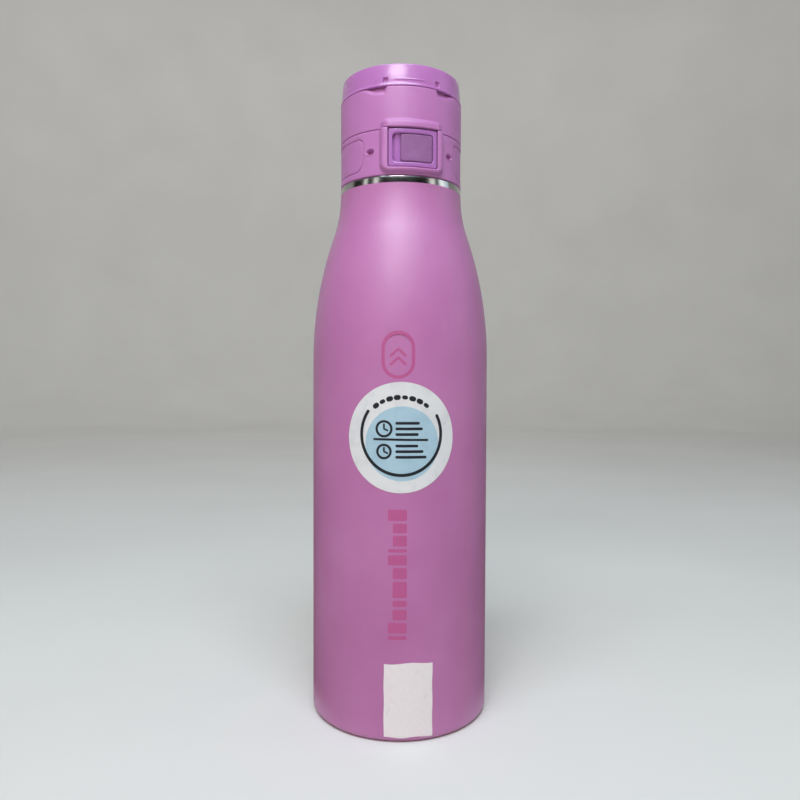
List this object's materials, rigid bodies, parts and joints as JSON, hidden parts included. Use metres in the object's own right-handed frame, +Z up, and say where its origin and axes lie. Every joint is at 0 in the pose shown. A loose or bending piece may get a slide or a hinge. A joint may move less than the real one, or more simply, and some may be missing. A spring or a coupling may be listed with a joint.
{
  "type": "insulated water bottle",
  "caption": "Slim vacuum bottle with a long shoulder, a screw-on lid, a locking flip cover over a spout and a fold-flat ring handle.",
  "frame": {"origin": "centre of the base, on the surface that the bottle stands on", "axes": "+Z up along the bottle's axis; the release button faces -Y and the cover's hinge is at +Y"},
  "size_m": [0.073, 0.0731, 0.2593],
  "materials": {
    "powder_coat": "satin powder coat, lilac pink",
    "bare_steel": "turned and brushed",
    "inner_steel": "electropolished",
    "foil": "wrinkled copper-toned foil",
    "getter_metal": "matt sintered pill",
    "lid_plastic": "fine matte moulded polypropylene",
    "liner_plastic": "plain moulded",
    "gloss_handle": "glossy, slightly pearly",
    "button_plastic": "glossy violet",
    "slider_plastic": "matte mauve",
    "silicone": "translucent white silicone",
    "vinyl_label": "printed vinyl",
    "paper_label": "plain white paper",
    "spring_steel": "bright drawn wire"
  },
  "bodies": {
    "bottle": {"outer_shell": "powder_coat", "neck_ring": "bare_steel", "inner_flask": "inner_steel", "foil_wrap": "foil", "shell_base": "powder_coat", "vacuum_getter": "getter_metal", "vacuum_seal": "getter_metal", "round_label": "vinyl_label", "paper_label": "paper_label"},
    "seal": {"mouth_gasket": "silicone"},
    "lid": {"lid_collar": "lid_plastic", "threaded_liner": "liner_plastic", "spout": "lid_plastic", "spout_gasket": "silicone", "side_pad_left": "lid_plastic", "side_pad_right": "lid_plastic", "cover_hinge_pin": "bare_steel", "cover_spring": "spring_steel", "button_spring": "spring_steel"},
    "cover": {"flip_cover": "lid_plastic", "cover_liner": "liner_plastic", "spout_seal": "silicone", "catch_plate": "bare_steel", "handle_pins": "bare_steel"},
    "handle": {"carry_handle": "gloss_handle"},
    "button": {"release_button": "button_plastic", "latch_tongue": "spring_steel"},
    "slider": {"lock_slider": "slider_plastic", "slider_clip": "liner_plastic"}
  },
  "joints": [
    {"name": "lid_rise", "type": "slide", "parent": "bottle", "child": "seal", "axis": [0, 0, 1], "range_m": [0, 0.0171]},
    {"name": "lid_turn", "type": "hinge", "parent": "seal", "child": "lid", "pos_m": [0, 0, 0.22], "axis": [0, 0, 1], "range_deg": [0, 1530]},
    {"name": "cover_hinge", "type": "hinge", "parent": "lid", "child": "cover", "pos_m": [0, 0.0243, 0.23411], "axis": [-1, 0, 0], "range_deg": [0, 120]},
    {"name": "handle_fold", "type": "hinge", "parent": "cover", "child": "handle", "pos_m": [0, 0.014, 0.25492], "axis": [-1, 0, 0], "range_deg": [0, 90]},
    {"name": "button_press", "type": "slide", "parent": "lid", "child": "button", "axis": [0, 1, 0], "range_m": [0, 0.0011], "stiffness_N_per_m": 2500, "springref_m": -0.0008, "deforming": ["button_spring"]},
    {"name": "lock_slide", "type": "slide", "parent": "button", "child": "slider", "axis": [-1, 0, 0], "range_m": [0, 0.0027]}
  ],
  "couplings": [
    {"joint": "lid_rise", "follows": "lid_turn", "m_per_rad": 0.00063662}
  ]
}
